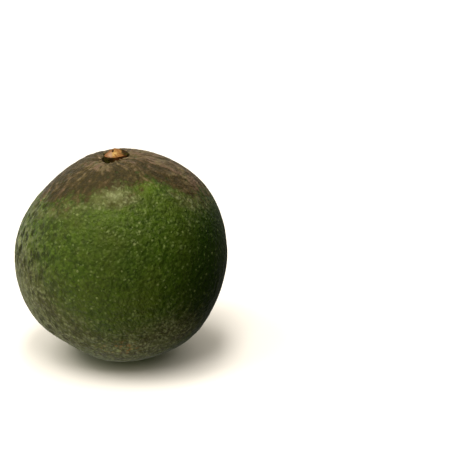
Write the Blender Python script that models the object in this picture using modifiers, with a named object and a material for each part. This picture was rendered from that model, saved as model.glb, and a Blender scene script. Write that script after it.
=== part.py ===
"""A round avocado standing on its blossom end, with the stub of its stalk in place.

The fruit grew as one piece, so its skin, flesh and seed are one solid, with a shallow
dimple at the stem end and a small flat spot underneath.  The dried stub of the stalk is
a piece of its own, seated in a socket in the dimple.  Units are metres and +Z is up.
The origin is on the flat spot, right under the middle of the fruit.
"""

import math

import bmesh
import bpy
from mathutils import Matrix, Vector

# The fruit: its round body, before the swells below
FRUIT_WIDTH = 0.0945  # along X
FRUIT_DEPTH = 0.0945  # along Y
FRUIT_HEIGHT = 0.0940  # from the flat spot to the crown, before the dimple
FLAT_DIAMETER = 0.0220  # the spot that it rests on

# The stem end
STEM_LEAN = math.radians(3.0)  # the growth axis leans towards -X
DIMPLE_DEPTH = 0.0020
DIMPLE_SPREAD = 0.0085
MOAT_WIDTH = 0.0018  # open ring of skin around the stub, at the surface
MOAT_DEPTH = 0.0015
SEAT_DEPTH = 0.0017  # how deep the stub is held below the moat
SEAT_GAP = 0.0003

# The stub of the stalk
BUTTON_DIAMETER = 0.0085
BUTTON_STANDS = 0.0020  # its cut face above the bottom of the dimple
BUTTON_CHAMFER = 0.0006

# Where the body is fuller (+) or flatter (-) than an ellipsoid.  Each swell has the
# direction of its middle from the fruit's centre, its height, and how far it spreads.
SWELLS = {
    "flat_left_shoulder": ((-0.66, 0.26, 0.71), -0.0026, math.radians(30)),
    "full_right_shoulder": ((0.83, 0.19, 0.53), 0.0015, math.radians(28)),
    "flat_lower_left": ((-0.54, -0.29, -0.79), -0.0020, math.radians(15)),
    "full_lower_right": ((0.60, -0.27, -0.75), 0.0010, math.radians(16)),
    "full_back": ((0.25, 0.93, -0.27), 0.0009, math.radians(32)),
    "flat_back_left": ((-0.55, 0.80, -0.10), -0.0008, math.radians(25)),
}

# How finely the curved faces are cut
FRUIT_SEGMENTS = 56
FRUIT_RINGS = 36
RING_CROWDING = 1.2  # above 0, the rings stand closer together towards the stem
TURNED_STEPS = 32
CUT_CLEARANCE = 0.0040  # how far the cutter reaches past the skin


def clear_scene():
    for old in list(bpy.data.objects):
        bpy.data.objects.remove(old, do_unlink=True)


def new_collection(name):
    collection = bpy.data.collections.new(name)
    bpy.context.scene.collection.children.link(collection)
    return collection


def new_material(name, colour, roughness):
    material = bpy.data.materials.new(name)
    material.use_nodes = True
    shader = material.node_tree.nodes["Principled BSDF"]
    shader.inputs["Base Color"].default_value = (*colour, 1.0)
    shader.inputs["Roughness"].default_value = roughness
    shader.inputs["Metallic"].default_value = 0.0
    return material


def skin_material():
    return new_material("avocado_skin", (0.050, 0.085, 0.018), 0.42)


def stalk_material():
    return new_material("dried_stalk", (0.42, 0.24, 0.09), 0.80)


def half_sizes():
    """Half the body along X, Y and Z, where Z allows for what the flat spot takes off."""
    taken_off = 1 - math.sqrt(1 - FLAT_DIAMETER**2 / (FRUIT_WIDTH * FRUIT_DEPTH))
    return Vector((FRUIT_WIDTH / 2, FRUIT_DEPTH / 2, FRUIT_HEIGHT / (2 - taken_off)))


def body_point(direction):
    """The point of the rounded body in a direction from its centre, before the dimple."""
    point = Vector(d * half for d, half in zip(direction, half_sizes()))
    for middle, height, spread in SWELLS.values():
        away = direction.angle(Vector(middle))
        point += direction * height * math.exp(-((away / spread) ** 2))
    return point


def skin_point(direction):
    """The point of the skin in that direction, with the dimple at the stem end."""
    point = body_point(direction)
    if direction.z > 0:
        from_axis = math.hypot(point.x, point.y)
        point.z -= DIMPLE_DEPTH * math.exp(-((from_axis / DIMPLE_SPREAD) ** 2))
    return point


def centre_height():
    return FRUIT_HEIGHT - half_sizes().z


def growth_frame():
    """From the fruit's own axes, which have the stem at +Z, to where it stands."""
    lean = Matrix.Rotation(-STEM_LEAN, 4, "Y")
    return Matrix.Translation((0, 0, centre_height())) @ lean


def build_fruit(collection):
    mesh = bmesh.new()
    bmesh.ops.create_uvsphere(
        mesh, u_segments=FRUIT_SEGMENTS, v_segments=FRUIT_RINGS, radius=1
    )
    for vert in mesh.verts:
        from_stem = Vector((0, 0, 1)).angle(vert.co) / math.pi
        crowded = math.expm1(RING_CROWDING * from_stem) / math.expm1(RING_CROWDING)
        around = math.atan2(vert.co.y, vert.co.x)
        polar = math.pi * crowded
        direction = Vector(
            (
                math.sin(polar) * math.cos(around),
                math.sin(polar) * math.sin(around),
                math.cos(polar),
            )
        )
        vert.co = skin_point(direction)
    bmesh.ops.transform(mesh, matrix=growth_frame(), verts=mesh.verts)
    cut_flat_spot(mesh)
    return add_object("fruit", mesh, collection, skin_material())


def cut_flat_spot(mesh):
    """Takes off everything below z = 0 and closes the cut with one flat face."""
    bmesh.ops.bisect_plane(
        mesh,
        geom=[*mesh.verts, *mesh.edges, *mesh.faces],
        plane_co=(0, 0, 0),
        plane_no=(0, 0, 1),
        clear_inner=True,
    )
    rim = [edge for edge in mesh.edges if edge.is_boundary]
    bmesh.ops.holes_fill(mesh, edges=rim, sides=0)
    bmesh.ops.recalc_face_normals(mesh, faces=mesh.faces)


def add_object(name, mesh, collection, material=None):
    data = bpy.data.meshes.new(name)
    mesh.to_mesh(data)
    mesh.free()
    data.shade_smooth()
    data.set_sharp_from_angle(angle=math.radians(35))
    obj = bpy.data.objects.new(name, data)
    if material is not None:
        data.materials.append(material)
    collection.objects.link(obj)
    return obj


def add_stem_axis(collection):
    """An empty on the growth axis, at the bottom of the dimple, with the axis as its Z."""
    axis = bpy.data.objects.new("stem_axis", None)
    axis.empty_display_size = BUTTON_DIAMETER
    up = Vector((0, 0, 1))
    axis.matrix_world = growth_frame() @ Matrix.Translation(skin_point(up))
    collection.objects.link(axis)
    return axis


def add_turned(name, profile, collection, parent, material=None):
    """A solid turned about Z from a profile of (radius, height), from its top down."""
    mesh = bmesh.new()
    verts = [mesh.verts.new((radius, 0, height)) for radius, height in profile]
    for upper, lower in zip(verts, verts[1:]):
        mesh.edges.new((upper, lower))
    obj = add_object(name, mesh, collection, material)
    obj.parent = parent
    turn = obj.modifiers.new("Turn", "SCREW")
    turn.steps = TURNED_STEPS
    turn.render_steps = TURNED_STEPS
    turn.use_merge_vertices = True
    turn.merge_threshold = 0.00001
    return obj


def build_socket_cutter(collection, stem_axis):
    """The space of the moat and, under it, of the socket that holds the stub."""
    socket_radius = BUTTON_DIAMETER / 2 + SEAT_GAP
    moat_slope = MOAT_WIDTH / MOAT_DEPTH
    profile = [
        (0, CUT_CLEARANCE),
        (socket_radius + MOAT_WIDTH + moat_slope * CUT_CLEARANCE, CUT_CLEARANCE),
        (socket_radius, -MOAT_DEPTH),
        (socket_radius, -MOAT_DEPTH - SEAT_DEPTH),
        (0, -MOAT_DEPTH - SEAT_DEPTH),
    ]
    cutter = add_turned("stem_socket_cutter", profile, collection, stem_axis)
    cutter.hide_render = True
    cutter.display_type = "WIRE"
    return cutter


def build_stem_button(collection, stem_axis):
    """The stub of the stalk: a short round plug with a bevelled cut face."""
    radius = BUTTON_DIAMETER / 2
    foot = -MOAT_DEPTH - SEAT_DEPTH + SEAT_GAP
    profile = [
        (0, BUTTON_STANDS),
        (radius - BUTTON_CHAMFER, BUTTON_STANDS),
        (radius, BUTTON_STANDS - BUTTON_CHAMFER),
        (radius, foot),
        (0, foot),
    ]
    return add_turned("stem_button", profile, collection, stem_axis, stalk_material())


def cut_socket(fruit, cutter):
    cut = fruit.modifiers.new("Stem socket", "BOOLEAN")
    cut.operation = "DIFFERENCE"
    cut.object = cutter


clear_scene()
avocado = new_collection("avocado")
cutters = new_collection("cutters")
fruit_body = build_fruit(avocado)
axis_empty = add_stem_axis(avocado)
socket_cutter = build_socket_cutter(cutters, axis_empty)
cut_socket(fruit_body, socket_cutter)
build_stem_button(avocado, axis_empty)
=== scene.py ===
import math

import bmesh
import bpy
import numpy as np
from mathutils import Matrix, Vector, noise


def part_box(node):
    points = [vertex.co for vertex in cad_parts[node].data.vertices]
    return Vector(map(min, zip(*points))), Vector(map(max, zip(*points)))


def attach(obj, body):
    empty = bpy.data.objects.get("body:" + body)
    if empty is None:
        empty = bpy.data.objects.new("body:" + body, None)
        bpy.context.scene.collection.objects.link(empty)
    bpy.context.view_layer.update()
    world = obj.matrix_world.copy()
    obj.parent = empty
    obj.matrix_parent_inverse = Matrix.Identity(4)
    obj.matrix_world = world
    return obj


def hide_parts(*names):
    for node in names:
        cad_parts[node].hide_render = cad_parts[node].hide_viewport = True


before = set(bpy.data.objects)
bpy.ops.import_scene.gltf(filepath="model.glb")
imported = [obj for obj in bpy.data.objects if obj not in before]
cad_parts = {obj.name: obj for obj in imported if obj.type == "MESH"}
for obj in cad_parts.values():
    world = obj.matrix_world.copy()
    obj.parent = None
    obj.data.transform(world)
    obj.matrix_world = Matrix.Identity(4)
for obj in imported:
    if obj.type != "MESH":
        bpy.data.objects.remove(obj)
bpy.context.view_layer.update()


# ---- Camera ---------------------------------------------------------------------------
# A long lens, straight in front of the fruit and a little above it. It points past the
# fruit's right side, so that the fruit stands at the left of the frame.

camera_rise = math.radians(20)
camera_distance = 0.95
aim_right = 0.0470
aim_above = 0.0118

fruit_low, fruit_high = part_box("fruit")
fruit_middle = (fruit_low + fruit_high) / 2
towards_camera = Vector((0, -math.cos(camera_rise), math.sin(camera_rise)))
camera_up = Vector((0, math.sin(camera_rise), math.cos(camera_rise)))
aim_point = fruit_middle + Vector((aim_right, 0, 0)) + camera_up * aim_above

camera_data = bpy.data.cameras.new("camera")
camera_data.lens = 169.7
camera_data.sensor_width = 36
camera = bpy.data.objects.new("camera", camera_data)
bpy.context.scene.collection.objects.link(camera)
camera.location = fruit_middle + towards_camera * camera_distance
camera.rotation_euler = (aim_point - camera.location).to_track_quat("-Z", "Y").to_euler()
bpy.context.scene.camera = camera
bpy.context.scene.view_settings.view_transform = "Standard"


# ---- Studio ---------------------------------------------------------------------------
# A pale sheet under the fruit, bright enough to read as white, a strip light overhead,
# a softbox at the left, and white surroundings that are dim at the right and below.

sheet_size = 8
sheet_colour = (0.95, 0.90, 0.83)
light_colour = (1.0, 0.985, 0.96)
sky_colour = (1.0, 0.965, 0.87)
contact_middle = 0.012  # the sheet's painted contact shadow is darkest within this distance of the fruit's middle
contact_end = 0.027
painted_shadow_tone = 0.5
glow_start = 0.15
glow_full = 0.9
glow_brightness = 0.6


def connect(tree, value, socket):
    """Links a node's output to a socket, or sets the socket to a plain value."""
    if isinstance(value, bpy.types.NodeSocket):
        tree.links.new(value, socket)
    else:
        socket.default_value = value


def add_node(tree, kind, inputs=None, **settings):
    """A node with its settings, and its sockets linked or set by name or number."""
    node = tree.nodes.new(kind)
    for key, value in settings.items():
        setattr(node, key, value)
    for key, value in (inputs or {}).items():
        connect(tree, value, node.inputs[key])
    return node


def calculate(tree, operation, *values):
    node = add_node(tree, "ShaderNodeMath", dict(enumerate(values)), operation=operation)
    return node.outputs[0]


def remap(tree, value, low, high, to_low=0.0, to_high=1.0):
    """Low to high becomes to_low to to_high, smoothly and clamped."""
    inputs = {"Value": value, "From Min": low, "From Max": high}
    inputs.update({"To Min": to_low, "To Max": to_high})
    node = add_node(tree, "ShaderNodeMapRange", inputs, interpolation_type="SMOOTHSTEP")
    return node.outputs["Result"]


def soft_light(name, width, length, location, watts):
    data = bpy.data.lights.new(name, "AREA")
    data.shape = "RECTANGLE"
    data.size = width
    data.size_y = length
    data.energy = watts
    data.color = light_colour
    light = bpy.data.objects.new(name, data)
    bpy.context.scene.collection.objects.link(light)
    light.location = location
    to_fruit = fruit_middle - Vector(location)
    light.rotation_euler = to_fruit.to_track_quat("-Z", "Y").to_euler()


sheet_mesh = bmesh.new()
bmesh.ops.create_grid(sheet_mesh, x_segments=4, y_segments=4, size=sheet_size / 2)
floor_data = bpy.data.meshes.new("floor")
sheet_mesh.to_mesh(floor_data)
sheet_mesh.free()
floor = bpy.data.objects.new("floor", floor_data)
bpy.context.scene.collection.objects.link(floor)
floor.visible_glossy = False
floor.visible_diffuse = False

# a painted contact shadow darkens the sheet round the spot that the fruit stands on, and the
# sheet glows faintly away from it, so that it stays white up to the horizon
floor_material = bpy.data.materials.new("floor_sheet")
floor_material.use_nodes = True
floor_data.materials.append(floor_material)
sheet = floor_material.node_tree
sheet_place = add_node(sheet, "ShaderNodeTexCoord").outputs["Object"]
from_fruit = add_node(sheet, "ShaderNodeVectorMath", {0: sheet_place}, operation="LENGTH")
from_fruit = from_fruit.outputs["Value"]
painted_contact_shadow = remap(sheet, from_fruit, contact_middle, contact_end, painted_shadow_tone, 1.0)
sheet_with_painted_shadow = add_node(
    sheet, "ShaderNodeVectorMath", {0: sheet_colour, "Scale": painted_contact_shadow}, operation="SCALE"
)
sheet_shader = sheet.nodes["Principled BSDF"]
sheet_shader.inputs["Roughness"].default_value = 0.9
sheet_shader.inputs["Specular IOR Level"].default_value = 0.0
sheet_shader.inputs["Emission Strength"].default_value = 1.0
connect(sheet, sheet_with_painted_shadow.outputs[0], sheet_shader.inputs["Base Color"])
glow = remap(sheet, from_fruit, glow_start, glow_full, 0.0, glow_brightness)
connect(sheet, glow, sheet_shader.inputs["Emission Color"])

soft_light("overhead_strip", width=0.24, length=0.80, location=(-0.03, -0.22, 0.80), watts=5.6)
soft_light("left_softbox", width=0.40, length=0.40, location=(-0.40, -0.16, 0.64), watts=2.6)

world = bpy.data.worlds.new("white_surroundings")
world.use_nodes = True
bpy.context.scene.world = world
sky = world.node_tree
sky_place = add_node(sky, "ShaderNodeTexCoord").outputs["Generated"]


def sky_towards(direction, low, high, from_value, to_value):
    """A brightness that changes with how far a ray looks towards a direction."""
    inputs = {0: sky_place, 1: Vector(direction).normalized()}
    towards = add_node(sky, "ShaderNodeVectorMath", inputs, operation="DOT_PRODUCT")
    return remap(sky, towards.outputs["Value"], low, high, from_value, to_value)


dim_right = sky_towards((1.0, -0.20, -0.25), 0.10, 0.80, 0.88, 0.02)
bright_left = sky_towards((-0.58, -0.55, -0.60), 0.35, 1.0, 0.0, 0.55)
dim_below = sky_towards((0.1, -0.1, -1.0), 0.55, 1.0, 1.0, 0.84)
dim_front = sky_towards((0.0, -1.0, 0.05), 0.55, 1.0, 1.0, 0.68)
dim_behind = sky_towards((0.55, 0.70, -0.46), 0.60, 0.95, 1.0, 0.25)
sky_value = calculate(sky, "ADD", dim_right, bright_left)
for dimmer in (dim_below, dim_front, dim_behind):
    sky_value = calculate(sky, "MULTIPLY", sky_value, dimmer)
sky_light = add_node(
    sky, "ShaderNodeVectorMath", {0: sky_colour, "Scale": sky_value}, operation="SCALE"
)

# seen straight from the camera, the surroundings are plain white
seen_ray = add_node(sky, "ShaderNodeLightPath").outputs["Is Camera Ray"]
sky_seen = add_node(
    sky, "ShaderNodeVectorMath", {0: seen_ray, 1: sky_light.outputs[0]}, operation="MAXIMUM"
)
connect(sky, sky_seen.outputs[0], sky.nodes["Background"].inputs["Color"])


# ---- Skin of the fruit ----------------------------------------------------------------
# The whole fruit from outside: thick, leathery, pebbled green skin over a nearly round
# body, browned by the sun round the stem, and sunk into a corky pit that holds the stub.

fruit_width = 0.0945
fruit_depth = 0.0945
fruit_height = 0.0940
flat_spot = 0.0220
stem_lean = math.radians(3.0)
dimple_depth = 0.0020
dimple_spread = 0.0085

# each swell has its middle from the fruit's centre, its height, and its spread in degrees
swells = {
    "flat_left_shoulder": ((-0.66, 0.26, 0.71), -0.0026, 30),
    "full_right_shoulder": ((0.83, 0.19, 0.53), 0.0015, 28),
    "flat_lower_left": ((-0.54, -0.29, -0.79), -0.0020, 15),
    "full_lower_right": ((0.60, -0.27, -0.75), 0.0010, 16),
    "full_back": ((0.25, 0.93, -0.27), 0.0009, 32),
    "flat_back_left": ((-0.55, 0.80, -0.10), -0.0008, 25),
}

skin_segments = 380
skin_rings = 256
ring_crowding = 1.8  # above 0, the rings stand closer together towards the stem

dent_size = 0.020
dent_height = 0.00022
pebble_size = 0.0034
small_pebble_size = 0.0019
pebble_height = 0.00011
pleat_height = 0.00032
streak_height = 0.00016
pleat_spread = 0.029
wander_size = 0.013
wander_angle = 0.30  # how far the pleats stray sideways, in radians round the stem
smooth_to = 0.006  # no pebbles or hollows this near the stalk's axis
pebbled_from = 0.012
hollow_size = 0.0034
hollow_depth = 0.00040

pit_radius = 0.0049
pit_wall = 0.0007
pit_depth = 0.0026
pit_raggedness = 0.0003
gap_right = 0.0026  # how much wider the crevice round the stub is at these places
gap_front_left = 0.0024
gap_far_left = 0.0006
lip_from_mouth = 0.0004
lip_width = 0.0007
lip_height = 0.00022
collar_radius = 0.0062  # the skin sinks a little in a ring round the pit
collar_spread = 0.0028
collar_depth = 0.0004
collar_front_left = 0.0008  # how much deeper the ring is there

taken_off = 1 - math.sqrt(1 - flat_spot**2 / (fruit_width * fruit_depth))
half_height = fruit_height / (2 - taken_off)
half_sizes = np.array((fruit_width / 2, fruit_depth / 2, half_height))
growth_frame = (
    Matrix.Translation((0, 0, fruit_height - half_height))
    @ Matrix.Rotation(-stem_lean, 4, "Y")
)


def spread_about(directions, middle, degrees):
    """1 in one direction from the fruit's middle, fading out over so many degrees."""
    middle = np.array(Vector(middle).normalized())
    away = np.arccos(np.clip(directions @ middle, -1, 1))
    return np.exp(-((away / math.radians(degrees)) ** 2))


def bell(values, middle, spread):
    """1 at the middle value, fading out on both sides of it."""
    return np.exp(-(((values - middle) / spread) ** 2))


def smooth_step(low, high, values):
    """0 at low and 1 at high, smoothly and clamped."""
    t = np.clip((values - low) / (high - low), 0, 1)
    return t * t * (3 - 2 * t)


def grown_noise(points, size, seed):
    """Soft noise from -1 to 1 whose lumps are about as big as size."""
    shift = Vector((seed * 7.31, seed * 3.17, seed * 5.73))
    return np.array([noise.noise(Vector(p) / size + shift) for p in points.tolist()])


def on_ring(angles):
    return np.stack((np.cos(angles), np.sin(angles)), 1)


def vertex_places(data):
    places = np.empty(len(data.vertices) * 3, np.float32)
    data.vertices.foreach_get("co", places)
    return places.reshape(-1, 3).astype(float)


def place_vertices(data, places, frame_matrix):
    """Puts a mesh's vertices at places given in a frame, and none of them below z = 0."""
    matrix = np.array(frame_matrix)
    places = places @ matrix[:3, :3].T + matrix[:3, 3]
    places[:, 2] = np.maximum(places[:, 2], 0)
    data.vertices.foreach_set("co", places.astype(np.float32).ravel())
    data.update()
    return places


def store(data, fields):
    """Keeps a number for each vertex under each field's name, for the material to read."""
    for name, values in fields.items():
        attribute = data.attributes.new(name, "FLOAT", "POINT")
        attribute.data.foreach_set("value", np.ascontiguousarray(values, np.float32))


def object_from(name, data, material):
    data.materials.append(material)
    data.shade_smooth()
    obj = bpy.data.objects.new(name, data)
    bpy.context.scene.collection.objects.link(obj)
    return obj


ball = bmesh.new()
bmesh.ops.create_uvsphere(ball, u_segments=skin_segments, v_segments=skin_rings, radius=1)
skin_data = bpy.data.meshes.new("skin")
ball.to_mesh(skin_data)
ball.free()

unit = vertex_places(skin_data)
down_share = np.arccos(np.clip(unit[:, 2], -1, 1)) / math.pi
polar = math.pi * np.expm1(ring_crowding * down_share) / math.expm1(ring_crowding)
around = np.arctan2(unit[:, 1], unit[:, 0])
heading = np.column_stack((on_ring(around) * np.sin(polar)[:, None], np.cos(polar)))

skin = heading * half_sizes
for middle, swell_height, degrees in swells.values():
    skin += heading * (swell_height * spread_about(heading, middle, degrees))[:, None]
from_axis = np.hypot(skin[:, 0], skin[:, 1])
upper = heading[:, 2] > 0
skin[:, 2] -= upper * dimple_depth * bell(from_axis, 0, dimple_spread)

# relief that grew with the skin: soft dents, pebbles, pleats and streaks drawn to the
# stem, and small hollows that are longer than wide, deepest on the left
wandered = around + wander_angle * grown_noise(skin, wander_size, 15)
pleat_place = np.column_stack((on_ring(wandered) * 5.0, polar * 2.2))
pleats = grown_noise(pleat_place, 1.0, 3) + 0.5 * grown_noise(pleat_place, 0.45, 4)
streak_place = np.column_stack((on_ring(wandered) * 13.0, polar * 7.0))
streaks = grown_noise(streak_place, 1.0, 8) + 0.6 * grown_noise(streak_place, 0.5, 9)
near_stem = upper * bell(from_axis, 0, pleat_spread)
dents = grown_noise(skin, dent_size, 1)
pebble_place = skin * (1, 1, 0.75)
pebbles = grown_noise(pebble_place, pebble_size, 5)
pebbles += 0.6 * grown_noise(pebble_place, small_pebble_size, 6)
hollow_place = skin * (1, 1, 0.6) / hollow_size
hollow_reach = np.array([noise.voronoi(p)[0][0] for p in hollow_place.tolist()])
pitted = spread_about(heading, (-0.93, -0.30, 0.22), 35)
pitted = np.maximum(pitted, 0.8 * spread_about(heading, (-0.74, -0.45, -0.50), 22))
pitted -= 0.55 * spread_about(heading, (-0.92, -0.38, -0.08), 13) * pitted
hollows = smooth_step(0.60, 0.20, hollow_reach) * (0.25 + 0.75 * pitted)
body_share = smooth_step(smooth_to, pebbled_from, from_axis) * upper + ~upper
relief = dent_height * dents + pebble_height * pebbles * body_share
relief += near_stem * (pleat_height * pleats + streak_height * streaks)
relief -= hollow_depth * hollows * body_share
skin += heading * relief[:, None]

# the pit: a corky lip, then a crevice that runs down round the stub, widest at the right
# and at the front left, and almost closed in front
mouth_ring = np.column_stack((on_ring(around) * 2.4, np.zeros(len(around))))
ragged = grown_noise(mouth_ring, 1.0, 7)
front_left = bell(around, -1.95, 0.50)
mouth = pit_radius + pit_raggedness * ragged
mouth += gap_right * bell(around, 0.1, 0.7)
mouth += gap_front_left * front_left
mouth += gap_far_left * bell(around, -2.75, 0.35)
in_pit = upper * smooth_step(0, 1, (mouth - from_axis) / pit_wall)
lip = upper * bell(from_axis - mouth, lip_from_mouth, lip_width)
sunk = upper * (collar_depth + collar_front_left * front_left)
sunk = sunk * bell(from_axis, collar_radius, collar_spread)
skin[:, 2] += lip_height * lip * (1 + 0.8 * pleats) - pit_depth * in_pit - sunk
standing_skin = place_vertices(skin_data, skin, growth_frame)

# where the brown of the crown ends: so many degrees from the stem, and how this differs
# at some bearings round it, each with its spread
crown_reach = 43
crown_border = 24  # the width of its soft border
crown_bearings = (
    (-54, -14, 16),
    (-84, -8, 15),
    (-105, -5, 22),
    (6, 13, 42),
    (75, -5, 20),
    (120, -8, 30),
    (160, 5, 18),
    (-160, 5, 25),
)
for bearing, more, spread in crown_bearings:
    off_bearing = (np.degrees(around) - bearing + 180) % 360 - 180
    crown_reach = crown_reach + more * bell(off_bearing, 0, spread)
crown = 0.5 + (crown_reach - np.degrees(polar)) / crown_border
crown_end = bell(crown, 0.25, 0.22)


def soft_patches(rows):
    """The sum of patches, each with its middle, its spread in degrees and its strength."""
    return sum(strength * spread_about(heading, m, d) for m, d, strength in rows)


# a bright green patch high in front, and below the sheen a wider, weaker brightening that is
# painted light
fresh_and_lit = np.maximum(
    spread_about(heading, (0.27, -0.48, 0.83), 8),
    0.42 * spread_about(heading, (-0.05, -0.76, 0.65), 13),
)
# weathered skin, and a painted sheen as a pale grey patch high in front
weathered_and_sheen_rows = (
    ((-0.80, -0.45, -0.42), 28, 0.95),
    ((-0.94, -0.26, -0.10), 22, 1.05),
    ((-0.54, -0.74, -0.40), 14, 0.40),
    ((0.42, -0.33, -0.85), 16, -0.60),
    ((0.02, -0.70, 0.72), 8, 0.60),
    ((0.00, -0.69, -0.72), 24, 0.75),
    ((0.44, -0.66, -0.60), 20, 0.85),
    ((0.66, -0.38, 0.65), 16, 0.35),
    ((-0.03, -0.56, 0.83), 10, 0.95),
    ((0.30, 0.80, -0.45), 30, 0.70),
)
below_crown = (0.55 - 0.25 * smooth_step(0.2, 0.5, heading[:, 0])) * crown_end
weathered_and_sheen = soft_patches(weathered_and_sheen_rows) + (below_crown - 1.2 * fresh_and_lit)
russet_rows = (
    ((-0.18, -0.77, -0.62), 6, 1.0),
    ((-0.07, -0.78, -0.63), 6, 1.0),
    ((0.03, -0.77, -0.64), 6, 1.0),
    ((0.42, 0.83, 0.30), 8, 1.0),
    ((-0.72, 0.62, -0.25), 6, 1.0),
    ((0.93, 0.30, 0.15), 6, 1.0),
    ((-0.69, -0.22, 0.69), 3, 1.0),
)
dusty_rows = (
    ((0.42, 0.05, 0.90), 30, 1.0),
    ((-0.10, -0.29, 0.95), 5, 1.4),
    ((-0.21, -0.15, 0.96), 7, 0.8),
    ((0.00, -0.43, 0.90), 12, -0.8),
    ((0.40, -0.26, 0.88), 9, -0.8),
)
# painted shade: a darker green where the light falls off, at the right side, in the middle of the
# front, and low at the right underneath
painted_shade_rows = (
    ((0.06, -0.96, 0.28), 19, 0.44),
    ((0.42, -0.33, -0.85), 16, 0.70),
)
painted_shade_right = smooth_step(0.15, 0.75, spread_about(heading, (0.93, -0.34, -0.12), 45))
skin_fields = {
    "crown": crown,
    "weathered_and_sheen": weathered_and_sheen,
    "fresh_and_lit": fresh_and_lit,
    "russet": soft_patches(russet_rows),
    "pleats": 0.5 + 0.5 * np.clip(pleats, -1, 1),
    "streaks": 0.5 + 0.5 * np.clip(streaks, -1, 1),
    "pitted": pitted,
    "scar": spread_about(heading, (-0.05, 0.0, -1.0), 3.0),
    "painted_shade": np.maximum(painted_shade_right, soft_patches(painted_shade_rows)),
    "dusty": soft_patches(dusty_rows),
    "pit": np.maximum(in_pit, 0.40 * lip),
}
store(skin_data, skin_fields)


def mix_colour(tree, share, first, second):
    node = add_node(tree, "ShaderNodeMix", data_type="RGBA")
    colours = [socket for socket in node.inputs if socket.type == "RGBA"]
    for socket, value in zip((node.inputs["Factor"], *colours), (share, first, second)):
        connect(tree, value, socket)
    return next(socket for socket in node.outputs if socket.type == "RGBA")


def soft_noise(tree, place, per_metre, detail=3.0, roughness=0.55):
    inputs = {"Vector": place, "Scale": per_metre, "Detail": detail, "Roughness": roughness}
    return add_node(tree, "ShaderNodeTexNoise", inputs).outputs["Fac"]


def new_group(name, inputs, outputs):
    """A node group with named sockets: (name, kind, default) in, (name, kind) out."""
    group = bpy.data.node_groups.new(name, "ShaderNodeTree")
    for label, kind, default in inputs:
        socket = group.interface.new_socket(label, in_out="INPUT", socket_type=kind)
        socket.default_value = default
    for label, kind in outputs:
        group.interface.new_socket(label, in_out="OUTPUT", socket_type=kind)
    return group


# Speckle: round dots strewn at random, of the size and share that each material asks for.
speckle = new_group(
    "speckle",
    (
        ("Place", "NodeSocketVector", (0, 0, 0)),
        ("Per Metre", "NodeSocketFloat", 300.0),
        ("Dot Size", "NodeSocketFloat", 0.2),
        ("Share", "NodeSocketFloat", 0.5),
    ),
    (("Mask", "NodeSocketFloat"),),
)
asked = add_node(speckle, "NodeGroupInput").outputs
cells = add_node(
    speckle, "ShaderNodeTexVoronoi", {"Vector": asked["Place"], "Scale": asked["Per Metre"]}
)
chance = add_node(speckle, "ShaderNodeSeparateColor", {"Color": cells.outputs["Color"]})
varied_size = calculate(speckle, "MULTIPLY_ADD", chance.outputs["Green"], 0.8, 0.5)
dot_radius = calculate(speckle, "MULTIPLY", asked["Dot Size"], varied_size)
from_dot = calculate(speckle, "DIVIDE", cells.outputs["Distance"], dot_radius)
dot = remap(speckle, from_dot, 1.0, 0.35)
kept = calculate(speckle, "LESS_THAN", chance.outputs["Red"], asked["Share"])
add_node(speckle, "NodeGroupOutput", {"Mask": calculate(speckle, "MULTIPLY", dot, kept)})

# Ragged edge: turns a smooth field into a patch whose border is broken up by noise.
ragged_edge = new_group(
    "ragged_edge",
    (
        ("Place", "NodeSocketVector", (0, 0, 0)),
        ("Field", "NodeSocketFloat", 0.5),
        ("Per Metre", "NodeSocketFloat", 150.0),
        ("Raggedness", "NodeSocketFloat", 0.8),
        ("Softness", "NodeSocketFloat", 0.2),
    ),
    (("Mask", "NodeSocketFloat"),),
)
asked = add_node(ragged_edge, "NodeGroupInput").outputs
broken = soft_noise(ragged_edge, asked["Place"], asked["Per Metre"], detail=5.0, roughness=0.65)
swing = calculate(ragged_edge, "SUBTRACT", broken, 0.5)
swung = calculate(ragged_edge, "MULTIPLY_ADD", swing, asked["Raggedness"], asked["Field"])
low_edge = calculate(ragged_edge, "SUBTRACT", 0.5, asked["Softness"])
high_edge = calculate(ragged_edge, "ADD", 0.5, asked["Softness"])
add_node(ragged_edge, "NodeGroupOutput", {"Mask": remap(ragged_edge, swung, low_edge, high_edge)})


def new_material(name):
    """A material, its node tree, and the place on the object that its patterns follow."""
    material = bpy.data.materials.new(name)
    material.use_nodes = True
    tree = material.node_tree
    return material, tree, add_node(tree, "ShaderNodeTexCoord").outputs["Object"]


def finish_shader(tree, inputs):
    for name, value in inputs.items():
        connect(tree, value, tree.nodes["Principled BSDF"].inputs[name])


def stored(tree, name):
    return add_node(tree, "ShaderNodeAttribute", attribute_name=name).outputs["Fac"]


def patch(tree, place, field, per_metre, raggedness, softness):
    inputs = {"Place": place, "Field": field, "Per Metre": per_metre}
    inputs.update({"Raggedness": raggedness, "Softness": softness})
    return add_node(tree, "ShaderNodeGroup", inputs, node_tree=ragged_edge).outputs["Mask"]


def dots(tree, place, per_metre, size, share):
    inputs = {"Place": place, "Per Metre": per_metre, "Dot Size": size, "Share": share}
    return add_node(tree, "ShaderNodeGroup", inputs, node_tree=speckle).outputs["Mask"]


def bumped(tree, height, distance, strength):
    inputs = {"Height": height, "Distance": distance, "Strength": strength}
    return add_node(tree, "ShaderNodeBump", inputs).outputs["Normal"]


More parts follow.
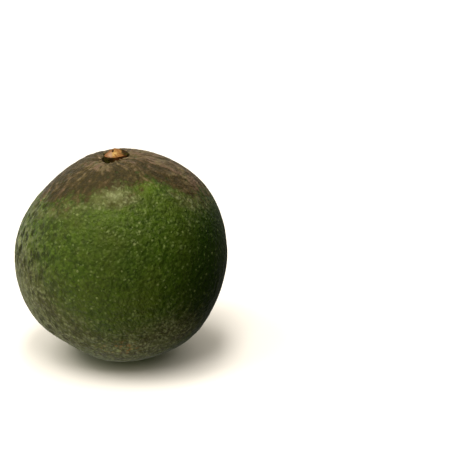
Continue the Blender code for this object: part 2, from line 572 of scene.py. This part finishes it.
skin_material, tree, place = new_material("avocado_skin")
deep_green = (0.014, 0.030, 0.0016, 1)
leaf_green = (0.041, 0.075, 0.003, 1)
olive = (0.058, 0.068, 0.006, 1)
bright_green = (0.070, 0.118, 0.003, 1)
painted_shade_green = (0.004, 0.015, 0.0005, 1)
pebble_green = (0.092, 0.128, 0.020, 1)
ash_olive = (0.074, 0.076, 0.022, 1)
ash_brown = (0.038, 0.028, 0.008, 1)
ash_pale_and_sheen = (0.235, 0.240, 0.115, 1)
hollow_painted_shade = (0.006, 0.008, 0.001, 1)
crown_dark = (0.020, 0.011, 0.003, 1)
crown_brown = (0.040, 0.023, 0.006, 1)
crown_pale = (0.128, 0.092, 0.042, 1)
crown_mauve = (0.118, 0.068, 0.042, 1)
speck_green = (0.155, 0.195, 0.060, 1)
speck_yellow = (0.215, 0.245, 0.085, 1)
speck_tan = (0.130, 0.095, 0.042, 1)
rust = (0.200, 0.105, 0.026, 1)
cork_painted_shade = (0.007, 0.004, 0.001, 1)
cork_pale = (0.120, 0.092, 0.052, 1)

wander = add_node(tree, "ShaderNodeTexNoise", {"Vector": place, "Scale": 420.0, "Detail": 2.0})
pull = {0: wander.outputs["Color"], 1: (0.0022, 0.0022, 0.0022), 2: place}
pulled = add_node(tree, "ShaderNodeVectorMath", pull, operation="MULTIPLY_ADD").outputs[0]
stretch = {0: pulled, 1: (1.0, 1.0, 0.6)}
stretched = add_node(tree, "ShaderNodeVectorMath", stretch, operation="MULTIPLY").outputs[0]
pebble = add_node(tree, "ShaderNodeTexVoronoi", {"Vector": pulled, "Scale": 600.0})
pebble_tone = add_node(tree, "ShaderNodeSeparateColor", {"Color": pebble.outputs["Color"]})
pebble_tone = pebble_tone.outputs["Red"]
dome = remap(tree, pebble.outputs["Distance"], 0.75, 0.10)
broad = remap(tree, soft_noise(tree, place, 70, detail=2.0), 0.35, 0.65)
blotch = remap(tree, soft_noise(tree, place, 190), 0.38, 0.62)
mottled = remap(tree, soft_noise(tree, place, 300), 0.36, 0.62)
fine = remap(tree, soft_noise(tree, place, 560, roughness=0.65), 0.38, 0.64)
grain = soft_noise(tree, place, 1500, detail=2.0)

# the greens: deep in the net between the pebbles, lighter on top of them
green = mix_colour(tree, fine, deep_green, leaf_green)
green = mix_colour(tree, calculate(tree, "MULTIPLY", broad, 0.40), green, olive)
green = mix_colour(tree, calculate(tree, "MULTIPLY", blotch, 0.30), green, leaf_green)
green = mix_colour(tree, calculate(tree, "MULTIPLY", mottled, 0.28), green, deep_green)
# a bright green patch, and a weaker painted pool of light below the sheen
fresh_and_lit_mask = patch(tree, place, stored(tree, "fresh_and_lit"), 420, raggedness=1.5, softness=0.40)
green = mix_colour(tree, calculate(tree, "MULTIPLY", fresh_and_lit_mask, 0.55), green, bright_green)
top_of_pebble = calculate(tree, "MULTIPLY", dome, pebble_tone)
green = mix_colour(tree, calculate(tree, "MULTIPLY", top_of_pebble, 0.55), green, pebble_green)
# painted shade: the green is darkened towards the right side, the middle of the front and low at
# the right
painted_shade_share = calculate(tree, "MULTIPLY", stored(tree, "painted_shade"), 0.76)
green = mix_colour(tree, painted_shade_share, green, painted_shade_green)

# skin dulled by weather at the lower left, underneath, and beside the crown, and a painted sheen,
# greyish and pale, high in front
weather_and_sheen = stored(tree, "weathered_and_sheen")
weather_and_sheen_mask = patch(tree, place, weather_and_sheen, 380, raggedness=1.4, softness=0.40)
ash_and_sheen = mix_colour(tree, blotch, ash_brown, ash_olive)
ash_and_sheen = mix_colour(tree, calculate(tree, "MULTIPLY", dome, mottled), ash_and_sheen, ash_pale_and_sheen)
ash_and_sheen = mix_colour(tree, remap(tree, weather_and_sheen, 0.9, 1.5, 0.0, 0.28), ash_and_sheen, ash_pale_and_sheen)
colour = mix_colour(tree, calculate(tree, "MULTIPLY", weather_and_sheen_mask, 0.72), green, ash_and_sheen)

# the brown crown: mottled, with thin streaks drawn towards the stem
uneven = soft_noise(tree, place, 130, detail=2.0)
crown_edge = calculate(tree, "MULTIPLY_ADD", uneven, 0.8, stored(tree, "crown"))
crown_edge = calculate(tree, "SUBTRACT", crown_edge, 0.40)
crown_mask = patch(tree, place, crown_edge, 420, raggedness=1.2, softness=0.24)
mottle = soft_noise(tree, place, 420, detail=4.0, roughness=0.65)
streaked = calculate(tree, "MULTIPLY_ADD", stored(tree, "streaks"), 0.48, mottle)
streaked = calculate(tree, "MULTIPLY_ADD", stored(tree, "pleats"), 0.20, streaked)
dustier = calculate(tree, "MULTIPLY_ADD", stored(tree, "dusty"), 0.24, streaked)
brown = mix_colour(tree, remap(tree, dustier, 0.72, 0.98), crown_dark, crown_brown)
crown_light = mix_colour(tree, blotch, crown_mauve, crown_pale)
brown = mix_colour(tree, remap(tree, dustier, 0.89, 1.20), brown, crown_light)
colour = mix_colour(tree, calculate(tree, "MULTIPLY", crown_mask, 0.94), colour, brown)

# small marks: pale ridges, partly a painted sheen, between hollows and pits darkened with painted
# shade, and pale breathing pores
pitted_share = stored(tree, "pitted")
# the pale ridges are partly a painted sheen
ridges = remap(tree, streaked, 0.72, 1.0, 0.0, 0.50)
ridge_sheen_share = calculate(tree, "MULTIPLY", calculate(tree, "POWER", pitted_share, 3.5), ridges)
colour = mix_colour(tree, ridge_sheen_share, colour, ash_pale_and_sheen)
# painted shade: the hollows are darkened
hollow_share = calculate(tree, "MULTIPLY_ADD", pitted_share, 0.85, 0.13)
hollow_dots = dots(tree, stretched, 360, size=0.66, share=0.90)
hollow_share = calculate(tree, "MULTIPLY", hollow_share, hollow_dots)
colour = mix_colour(tree, hollow_share, colour, hollow_painted_shade)
# painted shade: the pits are darkened
pits = dots(tree, place, 360, size=0.30, share=0.70)
colour = mix_colour(tree, calculate(tree, "MULTIPLY", pits, 0.60), colour, deep_green)
off_crown = calculate(tree, "MULTIPLY_ADD", crown_mask, -0.75, 1.0)
pores = calculate(tree, "MULTIPLY", dots(tree, pulled, 520, size=0.38, share=0.45), off_crown)
pore_colour = mix_colour(tree, crown_mask, speck_green, crown_pale)
colour = mix_colour(tree, calculate(tree, "MULTIPLY", pores, 0.42), colour, pore_colour)
bright_pores = dots(tree, place, 380, size=0.27, share=0.28)
bright_pores = calculate(tree, "MULTIPLY", bright_pores, off_crown)
pore_colour = mix_colour(tree, crown_mask, speck_yellow, speck_tan)
colour = mix_colour(tree, calculate(tree, "MULTIPLY", bright_pores, 0.45), colour, pore_colour)

# rusty corky specks low in front and at the back
russet_mask = patch(tree, place, stored(tree, "russet"), 500, raggedness=1.2, softness=0.40)
rusty = mix_colour(tree, remap(tree, pebble_tone, 0.3, 0.7), rust, speck_yellow)
rusty_dots = dots(tree, pulled, 500, size=0.56, share=0.90)
rusty_share = calculate(tree, "MULTIPLY", russet_mask, rusty_dots)
colour = mix_colour(tree, calculate(tree, "MULTIPLY", rusty_share, 0.85), colour, rusty)

# cork in the pit at the stem, and on the blossom scar underneath; deep in the pit it is darkened
# with painted shade
pit_share = stored(tree, "pit")
cork = mix_colour(tree, remap(tree, pit_share, 0.35, 0.95), cork_pale, cork_painted_shade)
cork_field = calculate(tree, "MAXIMUM", remap(tree, pit_share, 0.1, 0.7), stored(tree, "scar"))
cork_mask = patch(tree, place, cork_field, 900, raggedness=1.0, softness=0.25)
colour = mix_colour(tree, cork_mask, colour, cork)

roughness = calculate(tree, "MULTIPLY_ADD", fine, 0.12, 0.36)
height = calculate(tree, "MULTIPLY_ADD", dome, 0.70, 0.2)
for mask, rougher in (
    (crown_mask, 0.08),
    (weather_and_sheen_mask, 0.10),
    (cork_mask, 0.30),
    (hollow_share, 0.30),
):
    roughness = calculate(tree, "MULTIPLY_ADD", mask, rougher, roughness)
for mask, higher in (
    (fine, 0.35),
    (grain, 0.30),
    (pores, 0.30),
    (pits, -0.50),
    (hollow_share, -2.2),
):
    height = calculate(tree, "MULTIPLY_ADD", mask, higher, height)
skin_finish = {
    "Base Color": colour,
    "Roughness": roughness,
    "Specular IOR Level": 0.16,
    "Specular Tint": (1.0, 0.94, 0.50, 1),
    "Normal": bumped(tree, height, distance=0.0005, strength=0.6),
}
finish_shader(tree, skin_finish)

skin_object = object_from("avocado_skin", skin_data, skin_material)
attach(skin_object, "root")
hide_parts("fruit")


# ---- Stub of the stalk ----------------------------------------------------------------
# The last few millimetres of the stalk, left when the fruit was cut from the tree: a
# knuckle of wood with a pale, dried cut face and dark bark, sitting tight in the pit.

stub_radius = 0.00425
stub_stands = 0.0020  # its cut face above the bottom of the dimple
stub_foot = -0.0030
stub_edge = 0.0005  # how far its edge is rounded
stub_steps = 128
face_tilt = math.radians(15)
face_begins = 0.0007  # how far below the cut face its marks fade in
face_full = 0.0001
knuckle_height = 0.00055
knuckle_core = 0.0015  # the plain middle of the knuckle
lump_height = 0.00045
lump_size = 0.0022
small_lump_size = 0.0009
lobe_edge = 0.0010  # the low lobe lies further left of the middle than this
lobe_drop = 0.0006
lobe_slope = 0.35
chip_place = (-0.0001, 0.0024)
chip_size = (0.0005, 0.0012)
chip_depth = 0.0008
bark_from = 0.0022  # bark covers the right side, from here to the edge
bark_full = 0.0034
bark_drop = 0.0004
spur_reach = 0.0026  # how far the spur of bark reaches past the stub
spur_from = 0.0020
spur_full = 0.0043
spur_bend = 0.0040  # from here to its end, it bends down
spur_end = 0.0068
spur_drop = 0.0007

bottom_of_dimple = Vector((0, 0, half_height))
for middle, swell_height, degrees in swells.values():
    swell_share = spread_about(np.array([[0.0, 0, 1]]), middle, degrees)[0]
    bottom_of_dimple.z += swell_height * swell_share
bottom_of_dimple.z -= dimple_depth
stem_frame = growth_frame @ Matrix.Translation(bottom_of_dimple)

# its outline from the middle of the cut face, over the rounded edge, down to the foot
face_radii = np.linspace(0, stub_radius - stub_edge, 30)
quarter = np.linspace(0, math.pi / 2, 10)[1:]
edge_radii = stub_radius - stub_edge + stub_edge * np.sin(quarter)
edge_heights = stub_stands - stub_edge + stub_edge * np.cos(quarter)
side_heights = np.linspace(stub_stands - stub_edge, stub_foot, 26)[1:]
foot_radii = np.linspace(stub_radius, 0, 8)[1:]
outline = np.concatenate(
    (
        np.column_stack((face_radii, np.full(len(face_radii), stub_stands))),
        np.column_stack((edge_radii, edge_heights)),
        np.column_stack((np.full(len(side_heights), stub_radius), side_heights)),
        np.column_stack((foot_radii, np.full(len(foot_radii), stub_foot))),
    )
)

turned = bmesh.new()
outline_verts = [turned.verts.new((radius, 0, z)) for radius, z in outline]
outline_edges = [turned.edges.new(pair) for pair in zip(outline_verts, outline_verts[1:])]
bmesh.ops.spin(
    turned,
    geom=outline_verts + outline_edges,
    cent=(0, 0, 0),
    axis=(0, 0, 1),
    angle=math.tau,
    steps=stub_steps,
    use_merge=True,
)
bmesh.ops.remove_doubles(turned, verts=turned.verts, dist=0.000001)
bmesh.ops.recalc_face_normals(turned, faces=turned.faces)
stub_data = bpy.data.meshes.new("stub")
turned.to_mesh(stub_data)
turned.free()

# the knuckle: lumpy, its cut face tilted to the front, with a lower lobe at the left, a
# chip between the lobes, and a spur of bark that reaches out at the right
stub = vertex_places(stub_data)
out = np.hypot(stub[:, 0], stub[:, 1])
stub_ring = on_ring(np.arctan2(stub[:, 1], stub[:, 0]))
outward = stub * (1, 1, 0) / np.maximum(out, 1e-6)[:, None]
rim_place = np.column_stack((stub_ring * 1.3, stub[:, 2] * 90))
knuckle = grown_noise(rim_place, 1.0, 11) + 0.6 * grown_noise(rim_place, 0.4, 12)
on_face = smooth_step(stub_stands - face_begins, stub_stands - face_full, stub[:, 2])
off_core = smooth_step(knuckle_core, stub_radius, out)
stub += outward * (knuckle_height * knuckle * off_core)[:, None]
lumps = grown_noise(stub, lump_size, 13) + 0.6 * grown_noise(stub, small_lump_size, 14)
stub[:, 2] += lump_height * lumps * on_face
stub[:, 2] += math.tan(face_tilt) * stub[:, 1] * on_face
low_lobe = smooth_step(0.0001, -lobe_edge, stub[:, 0]) * on_face
past_lobe_edge = np.maximum(-stub[:, 0] - lobe_edge, 0)
stub[:, 2] -= (lobe_drop + lobe_slope * past_lobe_edge) * low_lobe
chip = bell(stub[:, 0], chip_place[0], chip_size[0])
chip = chip * bell(stub[:, 1], chip_place[1], chip_size[1]) * on_face
stub[:, 2] -= chip_depth * chip
barked = smooth_step(bark_from, bark_full, stub[:, 0] + 0.0005 * lumps)
stub[:, 2] -= bark_drop * barked * on_face
stub[:, 0] += spur_reach * smooth_step(spur_from, spur_full, stub[:, 0])
stub[:, 2] -= spur_drop * smooth_step(spur_bend, spur_end, stub[:, 0]) * on_face
inner_face = on_face * smooth_step(stub_radius, stub_radius - 0.0008, out)
to_right = smooth_step(-0.0005, 0.0010, stub[:, 0])
to_front = smooth_step(0.0, -0.0020, stub[:, 1])
stub_fields = {
    "cut_face": inner_face * (1 - barked),
    "chip": chip,
    "low_lobe": low_lobe,
    "out": out / stub_radius,
    "reddened": to_right * to_front,
}
store(stub_data, stub_fields)
place_vertices(stub_data, stub, stem_frame)

stub_material, tree, place = new_material("dried_stalk")
wood_tan = (0.27, 0.135, 0.030, 1)
wood_pale = (0.43, 0.275, 0.095, 1)
wood_pink = (0.30, 0.185, 0.105, 1)
wood_rim = (0.15, 0.055, 0.014, 1)
bark_dark = (0.024, 0.009, 0.002, 1)
bark_green = (0.032, 0.030, 0.003, 1)
bark_red = (0.070, 0.024, 0.005, 1)
fibres = soft_noise(tree, place, 1100, detail=4.0, roughness=0.7)
wood = mix_colour(tree, remap(tree, fibres, 0.40, 0.62), wood_tan, wood_pale)
wood = mix_colour(tree, stored(tree, "low_lobe"), wood, wood_pink)
wood_pores = dots(tree, place, 1300, size=0.42, share=0.5)
wood = mix_colour(tree, calculate(tree, "MULTIPLY", wood_pores, 0.5), wood, wood_rim)
browned = patch(tree, place, stored(tree, "out"), 800, raggedness=1.2, softness=0.20)
wood = mix_colour(tree, calculate(tree, "MULTIPLY", browned, 0.8), wood, wood_rim)
mossy = remap(tree, soft_noise(tree, place, 380, detail=2.0), 0.35, 0.65)
bark = mix_colour(tree, mossy, bark_dark, bark_green)
bark = mix_colour(tree, stored(tree, "reddened"), bark, bark_red)
face_mask = patch(tree, place, stored(tree, "cut_face"), 1100, raggedness=0.8, softness=0.25)
colour = mix_colour(tree, face_mask, bark, wood)
colour = mix_colour(tree, remap(tree, stored(tree, "chip"), 0.2, 0.7), colour, bark_dark)
stub_finish = {
    "Base Color": colour,
    "Roughness": remap(tree, fibres, 0.3, 0.7, 0.65, 0.9),
    "Specular IOR Level": 0.06,
    "Normal": bumped(tree, fibres, distance=0.0003, strength=0.7),
}
finish_shader(tree, stub_finish)

stub_object = object_from("stalk_stub", stub_data, stub_material)
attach(stub_object, "root")
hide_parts("stem_button")


# ---- Scales round the stub ------------------------------------------------------------
# A few dried scales and shreds of bark left from the flower, each a curled, ragged chip
# a millimetre or two long, stuck to the corky lip of the pit.

scale_thickness = 0.00022
scale_rows = (
    # bearing, distance from the stalk's axis, length, width, lift and turn in degrees
    (199, 0.0053, 0.0021, 0.0011, 36, 30),
    (190, 0.0058, 0.0016, 0.0008, 14, 80),
    (172, 0.0062, 0.0017, 0.0010, 25, -30),
    (96, 0.0060, 0.0020, 0.0012, 30, 10),
    (48, 0.0082, 0.0018, 0.0010, 20, -25),
    (-40, 0.0080, 0.0014, 0.0008, 10, 55),
)

to_growth_frame = np.array(growth_frame.inverted())
grown_skin = standing_skin @ to_growth_frame[:3, :3].T + to_growth_frame[:3, 3]
scale_points = []
scale_faces = []
for number, (bearing, distance, length, width, lift, turn) in enumerate(scale_rows):
    out_x = math.cos(math.radians(bearing)) * distance
    out_y = math.sin(math.radians(bearing)) * distance
    away = np.hypot(grown_skin[:, 0] - out_x, grown_skin[:, 1] - out_y)
    nearest = np.argmin(np.where(upper, away, np.inf))
    stands = Matrix.Translation((out_x, out_y, grown_skin[nearest, 2] + scale_thickness))
    leans = Matrix.Rotation(math.radians(bearing + turn), 4, "Z")
    leans = leans @ Matrix.Rotation(math.radians(-lift), 4, "Y")
    scale_mesh = bmesh.new()
    bmesh.ops.create_icosphere(scale_mesh, subdivisions=4, radius=0.5)
    for vert in scale_mesh.verts:
        along, across, up = vert.co
        torn = 1 + 0.35 * noise.noise(Vector((along * 4, across * 4, number * 3.7)))
        across *= (1 - 0.7 * max(along, 0)) * torn
        curl = 0.30 * length * (along**2 + 1.4 * across**2)
        vert.co = (along * length * torn, across * width, up * scale_thickness + curl)
    scale_mesh.transform(growth_frame @ stands @ leans)
    scale_mesh.verts.index_update()
    first = len(scale_points)
    scale_points += [vert.co.copy() for vert in scale_mesh.verts]
    scale_faces += [[first + vert.index for vert in face.verts] for face in scale_mesh.faces]
    scale_mesh.free()
scale_data = bpy.data.meshes.new("scales")
scale_data.from_pydata(scale_points, [], scale_faces)

scale_material, tree, place = new_material("dried_scales")
husk_pale = (0.30, 0.215, 0.125, 1)
husk_brown = (0.085, 0.050, 0.022, 1)
husk_tone = remap(tree, soft_noise(tree, place, 800), 0.40, 0.62)
colour = mix_colour(tree, husk_tone, husk_brown, husk_pale)
flecks = dots(tree, place, 1800, size=0.30, share=0.5)
colour = mix_colour(tree, calculate(tree, "MULTIPLY", flecks, 0.6), colour, bark_dark)
scale_finish = {
    "Base Color": colour,
    "Roughness": remap(tree, husk_tone, 0.0, 1.0, 0.70, 0.90),
    "Specular IOR Level": 0.15,
    "Normal": bumped(tree, husk_tone, distance=0.0002, strength=0.6),
}
finish_shader(tree, scale_finish)

scale_object = object_from("dried_scales", scale_data, scale_material)
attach(scale_object, "root")


# ---- The end --------------------------------------------------------------------------
# The scene is brought up to date.

bpy.context.view_layer.update()
